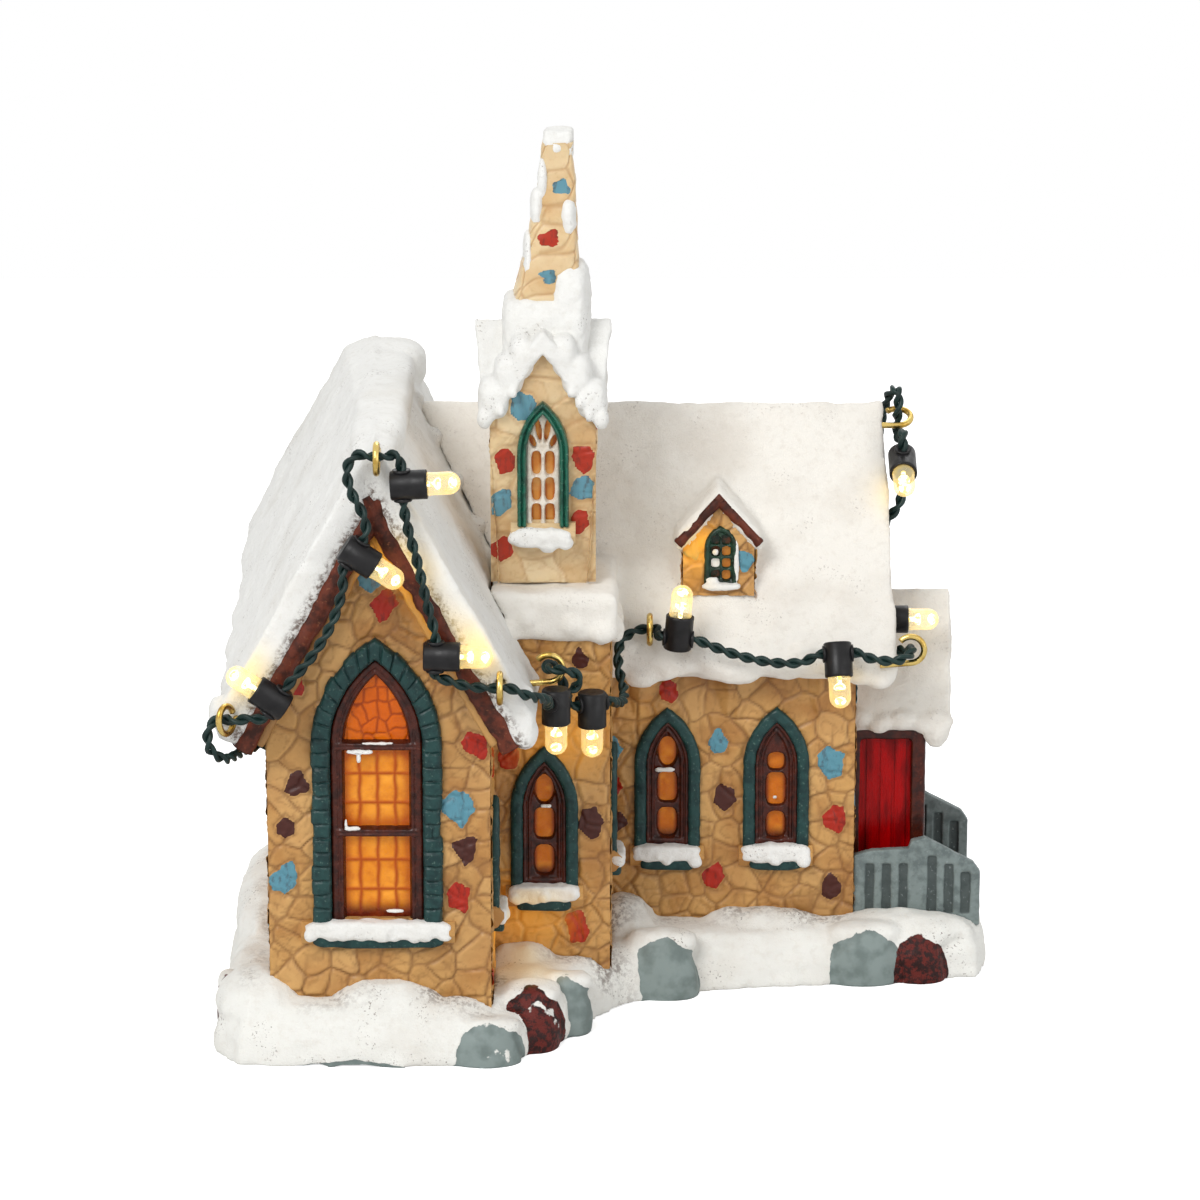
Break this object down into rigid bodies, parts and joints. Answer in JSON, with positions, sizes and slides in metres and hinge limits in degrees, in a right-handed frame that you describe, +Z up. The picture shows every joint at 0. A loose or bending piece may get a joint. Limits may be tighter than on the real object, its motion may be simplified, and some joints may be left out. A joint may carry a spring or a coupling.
{
  "type": "christmas village church",
  "caption": "Snow covered miniature church with lit arched windows, a spire, a porch and a chain of small lamps hung on screw eyes; battery box in the base.",
  "frame": {"origin": "middle of the box round the church at its underside, light chain left out", "axes": "+X along the nave to the right, towards the porch; +Y away from the front of the wing; +Z up, towards the spire"},
  "size_m": [0.1716, 0.1235, 0.1944],
  "materials": {
    "painted_snow": "matt white paint over cast resin, rough like packed snow, brown stones and boards painted on it",
    "stone_wall": "matt tan paint on cast resin with crazy paving relief and coloured stones",
    "pale_stone": "satin, slightly translucent pale resin with coloured stones",
    "brown_paint": "satin dark brown paint",
    "white_paint": "satin white paint",
    "amber_pane": "translucent amber film, lit from behind, with fine crackle",
    "green_frame": "dark green and white painted frame over a dark pane",
    "red_boards": "glossy red paint on grooved boards",
    "grey_paint": "matt blue grey paint",
    "brass_wire": "bright brass plated wire",
    "socket_black": "satin black moulded plastic",
    "cord_green": "dark green insulated pair, twisted",
    "lamp_lens": "clear moulded lens, glowing warm white",
    "case_black": "fine matt black moulding",
    "cell_sleeve": "plain glossy shrink sleeve with bare ends"
  },
  "bodies": {
    "church": {"ground_casting": "painted_snow", "wall_casting": "stone_wall", "wing_roof": "painted_snow", "nave_roof": "painted_snow", "tower_shaft": "pale_stone", "tower_roof": "painted_snow", "spire": "pale_stone", "porch_frame": "brown_paint", "porch_boards": "red_boards", "porch_roof": "painted_snow", "entrance_steps": "grey_paint", "front_balustrade": "grey_paint", "rear_balustrade": "grey_paint", "wing_window_frame": "brown_paint", "wing_window_pane": "amber_pane", "tower_window_frame": "brown_paint", "tower_window_pane": "amber_pane", "nave_window_1_frame": "brown_paint", "nave_window_1_pane": "amber_pane", "nave_window_2_frame": "brown_paint", "nave_window_2_pane": "amber_pane", "shaft_window_frame": "white_paint", "shaft_window_pane": "amber_pane", "dormer_window": "green_frame", "light_chain": "cord_green", "lamp_socket_1": "socket_black", "lamp_lens_1": "lamp_lens", "lamp_socket_2": "socket_black", "lamp_lens_2": "lamp_lens", "lamp_socket_3": "socket_black", "lamp_lens_3": "lamp_lens", "lamp_socket_4": "socket_black", "lamp_lens_4": "lamp_lens", "lamp_socket_5": "socket_black", "lamp_lens_5": "lamp_lens", "lamp_socket_6": "socket_black", "lamp_lens_6": "lamp_lens", "lamp_socket_7": "socket_black", "lamp_lens_7": "lamp_lens", "lamp_socket_8": "socket_black", "lamp_lens_8": "lamp_lens", "lamp_socket_9": "socket_black", "lamp_lens_9": "lamp_lens", "lamp_socket_10": "socket_black", "lamp_lens_10": "lamp_lens", "ridge_eye": "brass_wire", "left_eave_eye": "brass_wire", "right_eave_eye": "brass_wire", "tower_hook": "brass_wire", "nave_left_eye": "brass_wire", "nave_right_hook": "brass_wire", "nave_ridge_hook": "brass_wire", "battery_box": "case_black", "battery_1": "cell_sleeve", "battery_2": "cell_sleeve", "battery_3": "cell_sleeve", "interior_lamp": "lamp_lens"},
    "battery_cover": {"battery_cover": "case_black"},
    "switch_slider": {"switch_slider": "case_black"}
  },
  "joints": [
    {"name": "cover_hinge", "type": "hinge", "parent": "church", "child": "battery_cover", "pos_m": [-0.0494, 0.03015, 0.0016], "axis": [1, 0, 0], "range_deg": [0, 95]},
    {"name": "switch_slide", "type": "slide", "parent": "church", "child": "switch_slider", "axis": [1, 0, 0], "range_m": [-0.002, 0.002]}
  ]
}
